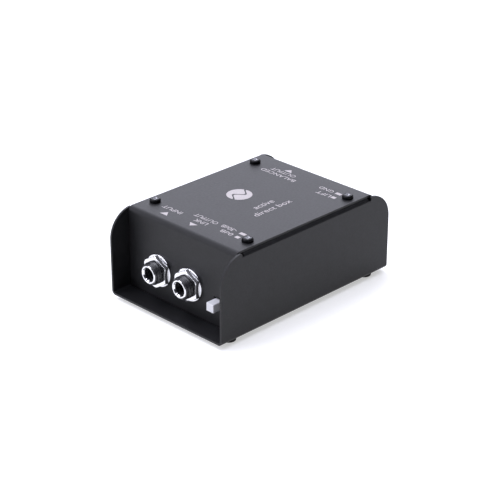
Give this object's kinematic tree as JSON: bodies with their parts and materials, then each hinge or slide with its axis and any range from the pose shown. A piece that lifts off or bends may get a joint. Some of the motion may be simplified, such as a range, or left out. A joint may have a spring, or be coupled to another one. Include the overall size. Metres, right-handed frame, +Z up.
{
  "type": "direct injection box",
  "caption": "Active direct injection box in a folded black steel case, with instrument jacks and a pad button in front and a balanced output and ground lift at the rear.",
  "frame": {"origin": "on the floor under the middle of the four feet", "axes": "+X is the case's width, -Y is the jack panel's side and +Y the output's side, +Z is up"},
  "size_m": [0.0836, 0.127, 0.0524],
  "materials": {
    "powder_coat": "fine satin black powder coat on folded steel",
    "black_steel": "black finished steel screw",
    "zinc_steel": "bright zinc plate",
    "rubber": "soft matt rubber",
    "nickel_casting": "satin nickel plated die casting",
    "black_moulding": "black moulded plastic",
    "contact_metal": "tinned or silvered contact metal",
    "battery_jacket": "printed steel jacket, plain colour bands",
    "wire_insulation": "soft PVC insulation",
    "spring_steel": "bare spring steel",
    "chip_epoxy": "moulded epoxy",
    "capacitor_sleeve": "shrink sleeve",
    "film_box": "moulded box",
    "resistor_lacquer": "lacquer with colour bands",
    "board_laminate": "solder mask on glass laminate",
    "jack_moulding": "black nylon moulding",
    "chrome": "bright chrome plate",
    "slider_moulding": "natural acetal",
    "cap_moulding": "light grey moulded plastic"
  },
  "bodies": {
    "root": {"battery": "battery_jacket", "battery_clip": "spring_steel", "battery_leads": "wire_insulation", "battery_snap": "black_moulding", "battery_studs": "zinc_steel", "chassis_base": "powder_coat", "circuit_board": "board_laminate", "clip_rivets": "zinc_steel", "electrolytic_capacitors": "capacitor_sleeve", "film_capacitors": "film_box", "ground_lift_switch_housing": "black_moulding", "ground_lift_switch_leads": "contact_metal", "ground_lift_switch_spring": "spring_steel", "input_jack_contacts": "contact_metal", "input_jack_ferrule": "chrome", "input_jack_housing": "jack_moulding", "input_jack_nut": "chrome", "input_jack_washer": "chrome", "lid_cover": "powder_coat", "lid_screws": "black_steel", "link_jack_contacts": "contact_metal", "link_jack_ferrule": "chrome", "link_jack_housing": "jack_moulding", "link_jack_nut": "chrome", "link_jack_washer": "chrome", "op_amp_chips": "chip_epoxy", "pad_switch_housing": "black_moulding", "pad_switch_leads": "contact_metal", "pad_switch_spring": "spring_steel", "press_nuts": "zinc_steel", "resistors": "resistor_lacquer", "rubber_feet": "rubber", "transistors": "chip_epoxy", "xlr_contact_pins": "contact_metal", "xlr_insert": "black_moulding", "xlr_nuts": "zinc_steel", "xlr_screws": "black_steel", "xlr_shell": "nickel_casting"},
    "pad_button": {"pad_switch_slider": "slider_moulding", "pad_button_cap": "cap_moulding"},
    "ground_lift_button": {"ground_lift_switch_slider": "slider_moulding", "ground_lift_button_cap": "cap_moulding"}
  },
  "joints": [
    {"name": "pad_push", "type": "slide", "parent": "root", "child": "pad_button", "axis": [0, 1, 0], "range_m": [0, 0.0026], "stiffness_N_per_m": 300, "springref_m": -0.002, "deforming": ["pad_switch_spring"]},
    {"name": "ground_lift_push", "type": "slide", "parent": "root", "child": "ground_lift_button", "axis": [0, -1, 0], "range_m": [0, 0.0026], "stiffness_N_per_m": 300, "springref_m": -0.002, "deforming": ["ground_lift_switch_spring"]}
  ]
}
